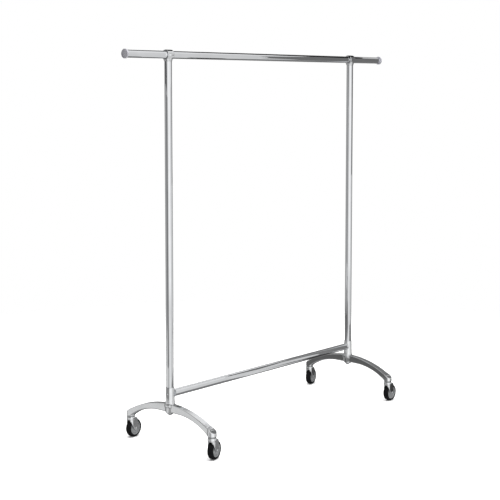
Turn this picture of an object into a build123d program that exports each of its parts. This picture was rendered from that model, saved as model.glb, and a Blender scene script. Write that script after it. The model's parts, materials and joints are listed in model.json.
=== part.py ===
from build123d import *
import math
import os

# A rolling clothes rack: one hanging bar over two posts, a lower cross bar, and two arched
# cast feet on four swivel casters.  Millimetres.  The origin is on the floor under the middle
# of the rack, +X runs along the hanging bar, +Y across it and +Z up.

# ---- Overall sizes ----
POST_SPACING = 1256.0          # between the two post axes
BAR_Z = 1674.0                 # axis of the hanging bar
BAR_HALF_LENGTH = 867.0        # from the middle to the tube's end
CROSS_BAR_Z = 238.0            # axis of the lower cross bar
STEM_SPAN = 493.0              # between the two swivel axes of a foot
TUBE_R = 16.0                  # every tube is 32 mm
TUBE_WALL = 1.5

# ---- Clearances ----
SNUG = 0.05                    # radial gap of a part held in a bore
RUNNING = 0.06                 # radial gap of a turning fit
AIR = 0.4                      # gap between faces that turn past each other
DRILLED = 0.2                  # radial gap of a bolt in its drilled hole
LOOSE = 0.3                    # radial gap of a washer on its bolt
END_GAP = 0.05                 # end gap of a spacer clamped between two faces

# ---- Foot casting ----
FOOT_TOP_Z = 194.5             # top of the arch on its middle
ARCH_TOP_R = 480.0             # radius of the arch's top
ARCH_UNDER_Z = 158.0           # underside of the arch near the hub
ARCH_UNDER_R = 290.0           # radius of the underside on each side
ARCH_UNDER_FLAT = 60.0         # half length of the level stretch at the hub
ARM_HALF_WIDTH_HUB = 11.5      # half width of the arm's top, at the hub
ARM_HALF_WIDTH_TIP = 18.5      # and at the tip
ARM_DRAFT = 4.0                # degrees that each side leans in towards the bottom
ARM_TOP_FILLET = 1.8
ARM_UNDER_FILLET = 5.0
BOSS_R = 19.0                  # caster boss at each tip
BOSS_Z = 100.0                 # underside of the boss
BOSS_RIM_FILLET = 1.2
STEM_HOLE_DEPTH = 21.0

SLEEVE_TOP_Z = 266.0
SLEEVE_TOP_R = 18.4
SLEEVE_FOOT_R = 19.9
SLEEVE_FLARE_Z = 206.0
COLLAR_R = 22.0
COLLAR_TOP_Z = 193.0
COLLAR_UNDER_Z = 182.0
HUB_R = 18.2
HUB_ROUND_Z = 163.0            # where the hub's round bottom starts
HUB_UNDER_Z = 150.0
HUB_FLAT_R = 9.5
POST_SEAT_Z = 190.0            # the post stands on this shoulder in the sleeve
PAD_R = 16.6                   # round pad that the cross bar butts against
PAD_REACH = 23.0

# ---- Fasteners ----
FOOT_BOLT_R = 5.0
FOOT_BOLT_HEAD_R = 8.5
FOOT_BOLT_HEAD = 5.6
FOOT_BOLT_LENGTH = 58.0
FOOT_WASHER_R = 9.3
FOOT_WASHER = 1.6
CROSS_BOLT_R = 4.0
CROSS_BOLT_HEAD_R = 6.4
CROSS_BOLT_HEAD = 3.8
CROSS_BOLT_SEAT = 17.6         # distance of the head's seat from the post axis
CROSS_BOLT_LENGTH = 62.0
PLUG_LENGTH = 26.0
PLUG_INSET = 0.2               # a plug sits this far inside its tube's end
PLUG_BLIND_END = 5.0           # solid end of the post's plug
SET_SCREW_R = 3.0
SET_SCREW_LENGTH = 5.0
TOP_SCREW_R = 2.5
TOP_SCREW_HEAD_R = 4.6
TOP_SCREW_HEAD = 2.4
TOP_SCREW_LENGTH = 12.0
HEX_SOCKET = 0.5               # socket's radius as a share of the head's radius

# ---- Top connector and end cap ----
RING_R = 21.5
RING_HALF_LENGTH = 18.0
RING_FILLET = 3.0
RING_RECESS_R = 18.6
RING_RECESS = 3.0
NECK_TOP_R = 20.5
NECK_FOOT_R = 17.2
NECK_FOOT_DROP = 27.0          # bottom of the neck below the bar axis
NECK_TOP_DROP = 10.0
SPIGOT_LENGTH = 30.0
CAP_R = 19.8
CAP_THICK = 7.0                # button beyond the tube's end
CAP_DOME = 1.6                 # how much of that is its domed front
CAP_RIM_FILLET = 2.2
CAP_PLUG = 16.0                # plug inside the tube

# ---- Caster ----
WHEEL_R = 40.0
TYRE_INNER_R = 30.0
TYRE_WIDTH = 27.0
TREAD_SHOULDER = 4.5
TREAD_CROWN = 0.8              # height of the tread's gentle crown
TRAIL = 17.0                   # axle behind the swivel axis
LOCK_WASHER = 1.8
LOCK_WASHER_R = 12.0
STEM_R = 6.0
STEM_LENGTH = 20.0             # thread inside the boss
RACE_R = 17.5
RACE = 3.0
KING_PIN_R = 4.5
KING_HEAD_R = 7.5
KING_HEAD = 2.4
BALL_R = 2.5
BALL_RING_R = 11.5
BALL_COUNT = 12
CROWN_R = 17.6                 # fork crown at its rims
CROWN_BULGE = 1.4              # and how much further its middle stands out
CROWN_TOP_Z = 94.4
CROWN_UNDER_Z = 79.0
CROWN_WEB_Z = 86.2             # underside of the web that the king pin holds
CROWN_POCKET_R = 12.5
WHEEL_GAP = 1.6                # from the tread to the fork around it
ARM_INNER_Y = 14.2             # inner face of each fork arm
ARM_THICKNESS = 3.2
ARM_FRONT_R = 18.6             # in front the arms wrap round the crown on this radius
ARM_FRONT_TOP = (-15.6, 84.0)  # side view of an arm's front edge: (distance, height)
ARM_FRONT_KNEE = (-12.4, 57.0)
ARM_KNEE_FILLET = 14.0
ARM_REAR_TOP_Z = 90.0
ARM_REAR_FILLET = 13.0
ARM_END_R = 8.8
AXLE_R = 3.0
AXLE_HEAD_R = 6.0
AXLE_HEAD = 2.8
NUT_R = 6.4
NUT = 4.0
THREAD_OVER = 1.5              # thread that shows past the nut
AXLE_SLEEVE_R = 4.75
BUSH_R = 7.0
HUB_HALF_WIDTH = 13.6          # hub barrel, out to just short of the fork arms
HUB_BARREL_R = 11.0
HUB_RIM_HALF_WIDTH = 11.4
HUB_RIM_LIP = 3.4
HUB_WEB_HALF = 6.6
HUB_RIDGE_R = 20.0
HUB_RIDGE_HALF = 8.4

# Where the four casters point at rest: the angle of the trail from +X, in degrees.
CASTERS = {
    "left_front": (-1, -1, 14.0),
    "left_rear": (-1, 1, 5.0),
    "right_front": (1, -1, 1.0),
    "right_rear": (1, 1, 13.0),
}

TUBE_BORE_R = TUBE_R - TUBE_WALL
POST_X = POST_SPACING / 2
STEM_Y = STEM_SPAN / 2
POST_TOP_Z = BAR_Z - NECK_FOOT_DROP
AXLE_Z = WHEEL_R
RACE_TOP_Z = BOSS_Z - LOCK_WASHER
RACE_UNDER_Z = RACE_TOP_Z - RACE
BALL_Z = (RACE_UNDER_Z + CROWN_TOP_Z) / 2


# ---- Small helpers ----
def turned(points, axis=Axis.Z):
    """A solid of revolution from an outline of (radius, height) points, about Z."""
    outline = Plane.XZ * make_face(Polyline(*points, close=True))
    return revolve(outline, axis)


def rod(radius, z_low, z_high):
    """An upright cylinder between two heights."""
    height = z_high - z_low
    return Pos(0, 0, z_low) * Cylinder(radius, height, align=(Align.CENTER, Align.CENTER, Align.MIN))


def tube(outer, inner, z_low, z_high):
    """An upright tube between two heights."""
    return rod(outer, z_low, z_high) - rod(inner, z_low, z_high)


def along_x(shape):
    """Turns an upright shape so that its +Z points along +X."""
    return Rot(0, 90, 0) * shape


def along_y(shape):
    """Turns an upright shape so that its +Z points along +Y."""
    return Rot(-90, 0, 0) * shape


def hexagon(radius, z_low, z_high):
    """An upright hexagonal bar, with its corners on the given radius."""
    return Pos(0, 0, z_low) * extrude(RegularPolygon(radius, 6), z_high - z_low)


def button_bolt(shank_r, shank, head_r, head):
    """A button-head bolt: the seat at z = 0, the shank upwards, the domed head below."""
    dome_r = (head_r**2 + head**2) / (2 * head)
    dome = Pos(0, 0, dome_r - head) * Sphere(dome_r)
    head_solid = dome & rod(head_r, -head, 0)
    socket = hexagon(head_r * HEX_SOCKET, -head, -head * 0.35)
    bolt = head_solid + rod(shank_r, 0, shank)
    return bolt - socket


# ---- Foot ----
def arch_under_height(y):
    """Height of the arch's underside at a distance y from the hub."""
    reach = max(0.0, abs(y) - ARCH_UNDER_FLAT)
    return ARCH_UNDER_Z - ARCH_UNDER_R + math.sqrt(ARCH_UNDER_R**2 - reach**2)


def arch_top_height(y):
    """Height of the arch's top at a distance y from the hub."""
    return FOOT_TOP_Z - ARCH_TOP_R + math.sqrt(ARCH_TOP_R**2 - y**2)


def under_arch_top():
    """The block of space below the arch's top surface, on the +Y side."""
    far = STEM_Y + 2 * BOSS_R
    mid = far / 2
    top = ThreePointArc((0, arch_top_height(0)), (mid, arch_top_height(mid)), (far, arch_top_height(far)))
    sides = Polyline((far, arch_top_height(far)), (far, 0), (0, 0), (0, arch_top_height(0)))
    face = Plane.YZ * make_face([top, sides])
    return extrude(face, 2 * COLLAR_R, both=True)


def foot_arm():
    """One arm of the foot, from the hub out to the caster boss on the +Y side."""
    end = STEM_Y - 2.0
    mid = (ARCH_UNDER_FLAT + end) / 2
    top_mid = end / 2
    outline = [
        ThreePointArc(
            (0, arch_top_height(0)), (top_mid, arch_top_height(top_mid)), (end, arch_top_height(end))
        ),
        Line((end, arch_top_height(end)), (end, arch_under_height(end))),
        ThreePointArc(
            (end, arch_under_height(end)), (mid, arch_under_height(mid)), (ARCH_UNDER_FLAT, ARCH_UNDER_Z)
        ),
        Line((ARCH_UNDER_FLAT, ARCH_UNDER_Z), (0, ARCH_UNDER_Z)),
        Line((0, ARCH_UNDER_Z), (0, arch_top_height(0))),
    ]
    side_view = extrude(Plane.YZ * make_face(outline), 2 * COLLAR_R, both=True)

    # The plan is drawn at the level of the hub's top and leans in by the draft below it.
    lean = math.tan(math.radians(ARM_DRAFT))
    tip_half = ARM_HALF_WIDTH_TIP + lean * (FOOT_TOP_Z - arch_top_height(end))
    slope = (tip_half - ARM_HALF_WIDTH_HUB) / end
    near = -COLLAR_R
    far = end + COLLAR_R
    near_half = ARM_HALF_WIDTH_HUB + slope * near
    far_half = ARM_HALF_WIDTH_HUB + slope * far
    plan = Pos(0, 0, FOOT_TOP_Z) * make_face(
        Polyline(
            (-near_half, near), (near_half, near), (far_half, far), (-far_half, far), close=True
        )
    )
    plan_block = extrude(plan, BOSS_Z - COLLAR_R - FOOT_TOP_Z, taper=ARM_DRAFT)
    arm = side_view & plan_block

    # The four long edges are rounded: two along the arch's top and two along its underside.
    long_edges = arm.edges().filter_by(lambda e: e.length > STEM_Y * 0.6)
    top_edges = long_edges.filter_by(lambda e: abs(e.center().Z - arch_top_height(e.center().Y)) < 4)
    arm = fillet(top_edges, ARM_TOP_FILLET)
    under_edges = arm.edges().filter_by(
        lambda e: e.length > 50.0 and e.center().Z < arch_under_height(e.center().Y) + 3
        and abs(e.center().X) > 4
    )
    arm = fillet(under_edges, ARM_UNDER_FILLET)
    return arm - Pos(0, STEM_Y, BOSS_Z - STEM_Y / 2) * Box(STEM_Y, STEM_Y, STEM_Y)


def caster_boss():
    """The upright boss at the arm's tip, its top cut to the arch."""
    boss = Pos(0, STEM_Y, 0) * rod(BOSS_R, BOSS_Z, FOOT_TOP_Z)
    boss = boss & under_arch_top()
    rim = boss.edges().filter_by(lambda e: e.center().Z > BOSS_Z + 5)
    rim = rim.filter_by(lambda e: e.length > BOSS_R)
    return fillet(rim, BOSS_RIM_FILLET)


def foot_hub():
    """The conical post sleeve, its collar on the arch and the round boss below."""
    round_drop = HUB_ROUND_Z - HUB_UNDER_Z
    outline = [
        Line((0, HUB_UNDER_Z), (HUB_FLAT_R, HUB_UNDER_Z)),
        EllipticalCenterArc(
            (HUB_FLAT_R, HUB_ROUND_Z), HUB_R - HUB_FLAT_R, round_drop, start_angle=270, arc_size=90
        ),
        Line((HUB_R, HUB_ROUND_Z), (HUB_R, COLLAR_UNDER_Z - 4)),
        Line((HUB_R, COLLAR_UNDER_Z - 4), (COLLAR_R - 1, COLLAR_UNDER_Z)),
        Line((COLLAR_R - 1, COLLAR_UNDER_Z), (COLLAR_R, COLLAR_UNDER_Z + 2)),
        Line((COLLAR_R, COLLAR_UNDER_Z + 2), (COLLAR_R, COLLAR_TOP_Z - 2)),
        ThreePointArc(
            (COLLAR_R, COLLAR_TOP_Z - 2),
            (SLEEVE_FOOT_R + 0.7, (COLLAR_TOP_Z + SLEEVE_FLARE_Z) / 2),
            (SLEEVE_FOOT_R, SLEEVE_FLARE_Z),
        ),
        Line((SLEEVE_FOOT_R, SLEEVE_FLARE_Z), (SLEEVE_TOP_R, SLEEVE_TOP_Z - 1)),
        Line((SLEEVE_TOP_R, SLEEVE_TOP_Z - 1), (SLEEVE_TOP_R - 0.8, SLEEVE_TOP_Z)),
        Line((SLEEVE_TOP_R - 0.8, SLEEVE_TOP_Z), (0, SLEEVE_TOP_Z)),
        Line((0, SLEEVE_TOP_Z), (0, HUB_UNDER_Z)),
    ]
    hub = revolve(Plane.XZ * make_face(outline), Axis.Z)
    pad = Pos(0, 0, CROSS_BAR_Z) * along_x(rod(PAD_R, 0, PAD_REACH))
    return hub + pad


def foot_casting():
    """One foot at the origin, with the cross-bar pad on its +X side."""
    half = foot_arm() + caster_boss()
    foot = half + mirror(half, Plane.XZ) + foot_hub()
    foot = foot - rod(TUBE_R + SNUG, POST_SEAT_Z, SLEEVE_TOP_Z + 1)
    foot = foot - rod(FOOT_BOLT_R + DRILLED, HUB_UNDER_Z - 1, POST_SEAT_Z + 1)
    bolt_hole = rod(CROSS_BOLT_R + DRILLED, -COLLAR_R, PAD_REACH + 1)
    head_seat = rod(CROSS_BOLT_HEAD_R + 0.4, -2 * COLLAR_R, -CROSS_BOLT_SEAT)
    foot = foot - Pos(0, 0, CROSS_BAR_Z) * along_x(bolt_hole + head_seat)
    for side in (-1, 1):
        hole = rod(STEM_R + SNUG, BOSS_Z - 1, BOSS_Z + STEM_HOLE_DEPTH)
        foot = foot - Pos(0, side * STEM_Y, 0) * hole
    return foot


# ---- Tubes ----
def post():
    """One upright tube at the origin, drilled for the cross bolt and the top screw."""
    upright = tube(TUBE_R, TUBE_BORE_R, POST_SEAT_Z, POST_TOP_Z)
    cross = Pos(0, 0, CROSS_BAR_Z) * along_x(rod(CROSS_BOLT_R + DRILLED, -2 * TUBE_R, 2 * TUBE_R))
    top_hole = along_y(rod(TOP_SCREW_R + DRILLED, 0, 2 * TUBE_R))
    return upright - cross - Pos(0, 0, POST_TOP_Z - SPIGOT_LENGTH / 2) * top_hole


def hanging_bar():
    return Pos(0, 0, BAR_Z) * along_x(tube(TUBE_R, TUBE_BORE_R, -BAR_HALF_LENGTH, BAR_HALF_LENGTH))


def cross_bar():
    half = POST_X - PAD_REACH
    return Pos(0, 0, CROSS_BAR_Z) * along_x(tube(TUBE_R, TUBE_BORE_R, -half, half))


# ---- Top fittings ----
def top_connector():
    """Cast tee at the origin: a ring around the hanging bar on a neck with a spigot."""
    ring = along_x(rod(RING_R, -RING_HALF_LENGTH, RING_HALF_LENGTH))
    ring = fillet(ring.edges().filter_by(GeomType.CIRCLE), RING_FILLET)
    neck = turned(
        [
            (0, 0),
            (NECK_TOP_R - 2, 0),
            (NECK_TOP_R, -NECK_TOP_DROP),
            (NECK_FOOT_R, -NECK_FOOT_DROP + 2),
            (NECK_FOOT_R, -NECK_FOOT_DROP),
            (0, -NECK_FOOT_DROP),
        ]
    )
    neck = neck & Pos(0, 0, -NECK_FOOT_DROP / 2) * Box(2 * RING_HALF_LENGTH, 3 * RING_R, 2 * NECK_FOOT_DROP)
    spigot = rod(TUBE_BORE_R - SNUG, -NECK_FOOT_DROP - SPIGOT_LENGTH, -NECK_FOOT_DROP)
    body = ring + neck + spigot
    body = body - along_x(rod(TUBE_R + SNUG, -2 * RING_R, 2 * RING_R))
    for side in (-1, 1):
        recess = rod(RING_RECESS_R, RING_HALF_LENGTH - RING_RECESS, RING_HALF_LENGTH + 1)
        body = body - Rot(0, side * 90, 0) * recess
    body = body - along_y(rod(SET_SCREW_R + SNUG, TUBE_R - 1, RING_R + 1))
    drilled = along_y(rod(TOP_SCREW_R + SNUG, TUBE_R - TOP_SCREW_LENGTH, TUBE_R + 1))
    return body - Pos(0, 0, -NECK_FOOT_DROP - SPIGOT_LENGTH / 2) * drilled


def end_cap():
    """Button-shaped plug with its front at +Z and the tube's end at z = 0."""
    plug_r = TUBE_BORE_R - SNUG
    rim_z = CAP_THICK - CAP_DOME
    dome_r = (CAP_R**2 + CAP_DOME**2) / (2 * CAP_DOME)
    half_way = CAP_THICK - dome_r + math.sqrt(dome_r**2 - (CAP_R / 2) ** 2)
    outline = [
        Line((0, -CAP_PLUG), (plug_r, -CAP_PLUG)),
        Line((plug_r, -CAP_PLUG), (plug_r, 0)),
        Line((plug_r, 0), (CAP_R, 0)),
        Line((CAP_R, 0), (CAP_R, rim_z)),
        ThreePointArc((CAP_R, rim_z), (CAP_R / 2, half_way), (0, CAP_THICK)),
        Line((0, CAP_THICK), (0, -CAP_PLUG)),
    ]
    face = make_face(outline)
    rim = face.vertices().sort_by_distance((CAP_R, rim_z))[0]
    return revolve(Plane.XZ * fillet(rim, CAP_RIM_FILLET), Axis.Z)


# ---- Fasteners and plugs ----
def cross_bar_plug():
    """Threaded plug in the end of the cross bar, its mouth at z = 0."""
    plug = rod(TUBE_BORE_R - SNUG, 0, PLUG_LENGTH)
    return plug - rod(CROSS_BOLT_R + SNUG, -1, PLUG_LENGTH)


def post_foot_plug():
    plug = rod(TUBE_BORE_R - SNUG, POST_SEAT_Z + PLUG_INSET, POST_SEAT_Z + PLUG_LENGTH)
    return plug - rod(FOOT_BOLT_R + SNUG, POST_SEAT_Z - 1, POST_SEAT_Z + PLUG_LENGTH - PLUG_BLIND_END)


def foot_bolt():
    bolt = button_bolt(FOOT_BOLT_R, FOOT_BOLT_LENGTH, FOOT_BOLT_HEAD_R, FOOT_BOLT_HEAD)
    return Pos(0, 0, HUB_UNDER_Z - FOOT_WASHER) * bolt


def foot_washer():
    return tube(FOOT_WASHER_R, FOOT_BOLT_R + LOOSE, HUB_UNDER_Z - FOOT_WASHER, HUB_UNDER_Z)


def cross_bolt():
    """Cross bolt at the post axis, its head on the -X side."""
    bolt = button_bolt(CROSS_BOLT_R, CROSS_BOLT_LENGTH, CROSS_BOLT_HEAD_R, CROSS_BOLT_HEAD)
    return Pos(-CROSS_BOLT_SEAT, 0, CROSS_BAR_Z) * along_x(bolt)


def set_screw():
    """Grub screw in the ring's +Y wall, close against the bar."""
    screw = rod(SET_SCREW_R, 0, SET_SCREW_LENGTH)
    screw = screw - hexagon(SET_SCREW_R * HEX_SOCKET, SET_SCREW_LENGTH - 3, SET_SCREW_LENGTH)
    return Pos(0, TUBE_R + SNUG, BAR_Z) * along_y(screw)


def top_screw():
    """Screw through the post into the connector's spigot, its head on the +Y side."""
    screw = button_bolt(TOP_SCREW_R, TOP_SCREW_LENGTH - 1, TOP_SCREW_HEAD_R, TOP_SCREW_HEAD)
    return Pos(0, TUBE_R, POST_TOP_Z - SPIGOT_LENGTH / 2) * (Rot(90, 0, 0) * screw)


# ---- Caster, with its swivel axis on Z, the floor at z = 0 and the trail along +X ----
def lock_washer():
    return tube(LOCK_WASHER_R, STEM_R + LOOSE, RACE_TOP_Z, BOSS_Z)


def caster_stem():
    """Threaded stem, top race and riveted king pin, in one piece."""
    stem = rod(STEM_R, RACE_TOP_Z, BOSS_Z + STEM_LENGTH)
    race = rod(RACE_R, RACE_UNDER_Z, RACE_TOP_Z)
    king_head_top = CROWN_WEB_Z - AIR
    pin = rod(KING_PIN_R, king_head_top, RACE_UNDER_Z)
    head = rod(KING_HEAD_R, king_head_top - KING_HEAD, king_head_top)
    groove = Pos(0, 0, BALL_Z) * Torus(BALL_RING_R, BALL_R + 0.2)
    return stem + race + pin + head - groove


def swivel_balls():
    balls = []
    for index in range(BALL_COUNT):
        place = Rot(0, 0, index * 360 / BALL_COUNT) * Pos(BALL_RING_R, 0, BALL_Z)
        balls.append(place * Sphere(BALL_R))
    return balls


def fork_side_view():
    """Side view of the fork's arms: broad under the crown, round at the axle."""
    axle = Vector(TRAIL, AXLE_Z)
    knee = Vector(*ARM_FRONT_KNEE)
    reach = axle - knee
    bend = math.degrees(math.asin(ARM_END_R / reach.length))
    touch = knee + reach.rotate(Axis.Z, -bend).normalized() * math.sqrt(reach.length**2 - ARM_END_R**2)
    rear_x = TRAIL + ARM_END_R
    blade = make_face(
        Polyline(
            ARM_FRONT_TOP,
            ARM_FRONT_KNEE,
            (touch.X, touch.Y),
            (TRAIL, AXLE_Z),
            (rear_x, AXLE_Z),
            (rear_x, ARM_REAR_TOP_Z),
            (ARM_FRONT_TOP[0], ARM_REAR_TOP_Z),
            close=True,
        )
    )
    corners = blade.vertices()
    knee_corner = corners.sort_by_distance(ARM_FRONT_KNEE)[0]
    blade = fillet(knee_corner, ARM_KNEE_FILLET)
    rear_corner = blade.vertices().sort_by_distance((rear_x, ARM_REAR_TOP_Z))[0]
    blade = fillet(rear_corner, ARM_REAR_FILLET)
    return blade + Pos(TRAIL, AXLE_Z) * Circle(ARM_END_R)


def fork_arms():
    """Both arms: a skirt that wraps round the front of the crown and runs back beside the wheel."""
    outer_y = ARM_INNER_Y + ARM_THICKNESS
    far = TRAIL + 2 * ARM_END_R
    outer = Circle(ARM_FRONT_R) + Pos(far / 2, 0) * Rectangle(far, 2 * outer_y)
    inner_r = ARM_FRONT_R - ARM_THICKNESS
    inner = Circle(inner_r) + Pos(far, 0) * Rectangle(2 * far, 2 * ARM_INNER_Y)
    skirt = extrude(outer - inner, CROWN_TOP_Z)
    side_view = extrude(Plane.XZ * fork_side_view(), 2 * CROWN_R, both=True)
    return skirt & side_view


def fork():
    """Cast fork: a round crown over the wheel and a broad arm on each side of it."""
    mid = (CROWN_TOP_Z + CROWN_UNDER_Z) / 2
    outline = [
        Line((0, CROWN_UNDER_Z), (CROWN_R, CROWN_UNDER_Z)),
        ThreePointArc((CROWN_R, CROWN_UNDER_Z), (CROWN_R + CROWN_BULGE, mid), (CROWN_R, CROWN_TOP_Z)),
        Line((CROWN_R, CROWN_TOP_Z), (0, CROWN_TOP_Z)),
        Line((0, CROWN_TOP_Z), (0, CROWN_UNDER_Z)),
    ]
    crown = revolve(Plane.XZ * make_face(outline), Axis.Z)
    crown = crown - rod(CROWN_POCKET_R, CROWN_UNDER_Z - 1, CROWN_WEB_Z)
    body = crown + fork_arms()
    wheel_room = along_y(rod(WHEEL_R + WHEEL_GAP, -ARM_INNER_Y, ARM_INNER_Y))
    body = body - Pos(TRAIL, 0, AXLE_Z) * wheel_room
    body = body - rod(KING_PIN_R + RUNNING, CROWN_UNDER_Z, CROWN_TOP_Z + 1)
    body = body - Pos(0, 0, BALL_Z) * Torus(BALL_RING_R, BALL_R + SNUG)
    axle_hole = along_y(rod(AXLE_R + SNUG, -2 * ARM_INNER_Y, 2 * ARM_INNER_Y))
    return body - Pos(TRAIL, 0, AXLE_Z) * axle_hole


def axle_bolt():
    """Axle bolt with a domed head on the -Y side."""
    seat = ARM_INNER_Y + ARM_THICKNESS
    dome_r = (AXLE_HEAD_R**2 + AXLE_HEAD**2) / (2 * AXLE_HEAD)
    dome = Pos(0, 0, dome_r - AXLE_HEAD) * Sphere(dome_r)
    bolt = (dome & rod(AXLE_HEAD_R, -AXLE_HEAD, 0)) + rod(AXLE_R, 0, 2 * seat + NUT + THREAD_OVER)
    return Pos(TRAIL, -seat, AXLE_Z) * along_y(bolt)


def axle_nut():
    seat = ARM_INNER_Y + ARM_THICKNESS
    nut = hexagon(NUT_R, 0, NUT) - rod(AXLE_R + SNUG, -1, NUT + 1)
    nut = nut & turned([(0, 0), (NUT_R, 0), (NUT_R, NUT - 1.2), (NUT_R - 1.4, NUT), (0, NUT)])
    return Pos(TRAIL, seat, AXLE_Z) * along_y(nut)


def axle_sleeve():
    """Spacer tube on the axle bolt, clamped between the fork arms: the wheel turns on it."""
    half = ARM_INNER_Y - END_GAP
    return Pos(TRAIL, 0, AXLE_Z) * along_y(tube(AXLE_SLEEVE_R, AXLE_R + SNUG, -half, half))


def hub_bush():
    bush = tube(BUSH_R, AXLE_SLEEVE_R + RUNNING, -HUB_HALF_WIDTH, HUB_HALF_WIDTH)
    return Pos(TRAIL, 0, AXLE_Z) * along_y(bush)


def wheel_hub():
    """Moulded hub: a barrel, a dished web with a round ridge, and a rim under the tyre."""
    half_section = [
        (BUSH_R + SNUG, 0),
        (BUSH_R + SNUG, HUB_HALF_WIDTH),
        (HUB_BARREL_R - 1, HUB_HALF_WIDTH),
        (HUB_BARREL_R, HUB_HALF_WIDTH - 1),
        (HUB_BARREL_R + 0.6, HUB_WEB_HALF),
        (HUB_RIDGE_R - 2.6, HUB_WEB_HALF),
        (HUB_RIDGE_R - 1.6, HUB_RIDGE_HALF),
        (HUB_RIDGE_R + 1.6, HUB_RIDGE_HALF),
        (HUB_RIDGE_R + 2.6, HUB_WEB_HALF),
        (TYRE_INNER_R - HUB_RIM_LIP - 1, HUB_WEB_HALF),
        (TYRE_INNER_R - HUB_RIM_LIP, HUB_RIM_HALF_WIDTH - 0.6),
        (TYRE_INNER_R - HUB_RIM_LIP + 0.8, HUB_RIM_HALF_WIDTH),
        (TYRE_INNER_R - SNUG, HUB_RIM_HALF_WIDTH),
        (TYRE_INNER_R - SNUG, 0),
    ]
    half = turned(half_section)
    return Pos(TRAIL, 0, AXLE_Z) * along_y(half + mirror(half, Plane.XY))


def tyre():
    """Rubber tyre with a gently crowned tread and round shoulders."""
    half = TYRE_WIDTH / 2
    edge_r = WHEEL_R - TREAD_CROWN
    turn_in = TREAD_SHOULDER * (1 - math.sqrt(0.5))
    flat = half - TREAD_SHOULDER
    outline = [
        Line((TYRE_INNER_R, 1 - half), (TYRE_INNER_R, half - 1)),
        Line((TYRE_INNER_R, half - 1), (TYRE_INNER_R + 1, half)),
        Line((TYRE_INNER_R + 1, half), (edge_r - TREAD_SHOULDER, half)),
        ThreePointArc(
            (edge_r - TREAD_SHOULDER, half), (edge_r - turn_in, half - turn_in), (edge_r, flat)
        ),
        ThreePointArc((edge_r, flat), (WHEEL_R, 0), (edge_r, -flat)),
        ThreePointArc(
            (edge_r, -flat), (edge_r - turn_in, turn_in - half), (edge_r - TREAD_SHOULDER, -half)
        ),
        Line((edge_r - TREAD_SHOULDER, -half), (TYRE_INNER_R + 1, -half)),
        Line((TYRE_INNER_R + 1, -half), (TYRE_INNER_R, 1 - half)),
    ]
    ring = revolve(Plane.XZ * make_face(outline), Axis.Z)
    return Pos(TRAIL, 0, AXLE_Z) * along_y(ring)


# ---- Placing ----
def on_left(shape):
    """Moves a post-side shape from the origin to the left post."""
    return Pos(-POST_X, 0, 0) * shape


def on_right(shape):
    """Turns a post-side shape to face the other way and moves it to the right post."""
    return Pos(POST_X, 0, 0) * (Rot(0, 0, 180) * shape)


def at_caster(corner, shape):
    """Moves a caster piece to its corner and turns it to its rest direction."""
    side_x, side_y, angle = CASTERS[corner]
    return Pos(side_x * POST_X, side_y * STEM_Y, 0) * (Rot(0, 0, angle) * shape)


def save(name, *shapes):
    solids = []
    for shape in shapes:
        solids.extend(shape.solids())
    node = solids[0] if len(solids) == 1 else Compound(children=solids)
    node.label = name
    export_step(node, f"parts/{name}.step")


def save_frame():
    foot = foot_casting()
    save("foot_casting_left", on_left(foot))
    save("foot_casting_right", on_right(foot))
    save("post_left", on_left(post()))
    save("post_right", Pos(POST_X, 0, 0) * post())
    save("hanging_bar", hanging_bar())
    save("lower_cross_bar", cross_bar())
    connector = Pos(0, 0, BAR_Z) * top_connector()
    save("top_connector_left", Pos(-POST_X, 0, 0) * connector)
    save("top_connector_right", Pos(POST_X, 0, 0) * connector)
    cap = end_cap()
    save("bar_end_cap_left", Pos(-BAR_HALF_LENGTH, 0, BAR_Z) * (Rot(0, -90, 0) * cap))
    save("bar_end_cap_right", Pos(BAR_HALF_LENGTH, 0, BAR_Z) * (Rot(0, 90, 0) * cap))


def save_fasteners():
    plug = Pos(PAD_REACH + PLUG_INSET, 0, CROSS_BAR_Z) * along_x(cross_bar_plug())
    save("cross_bar_end_plugs", on_left(plug), on_right(plug))
    save("cross_bar_bolts", on_left(cross_bolt()), on_right(cross_bolt()))
    save("post_foot_plugs", on_left(post_foot_plug()), on_right(post_foot_plug()))
    save("post_foot_bolts", on_left(foot_bolt()), on_right(foot_bolt()))
    save("post_foot_washers", on_left(foot_washer()), on_right(foot_washer()))
    screws = {"connector_set_screws": set_screw(), "post_top_screws": top_screw()}
    for name, screw in screws.items():
        save(name, Pos(-POST_X, 0, 0) * screw, Pos(POST_X, 0, 0) * screw)


def save_casters():
    pieces = {
        "caster_stem": [caster_stem()],
        "swivel_balls": swivel_balls(),
        "fork": [fork()],
        "axle_bolt": [axle_bolt()],
        "axle_nut": [axle_nut()],
        "axle_sleeve": [axle_sleeve()],
        "hub_bush": [hub_bush()],
        "wheel_hub": [wheel_hub()],
        "tyre": [tyre()],
    }
    for corner in CASTERS:
        for piece, shapes in pieces.items():
            save(f"{piece}_{corner}", *[at_caster(corner, shape) for shape in shapes])
    washer = lock_washer()
    save("caster_lock_washers", *[at_caster(corner, washer) for corner in CASTERS])


os.makedirs("parts", exist_ok=True)
save_frame()
save_fasteners()
save_casters()
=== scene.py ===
import json
import math

import bmesh
import bpy
import numpy as np
from mathutils import Matrix, Vector

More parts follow.
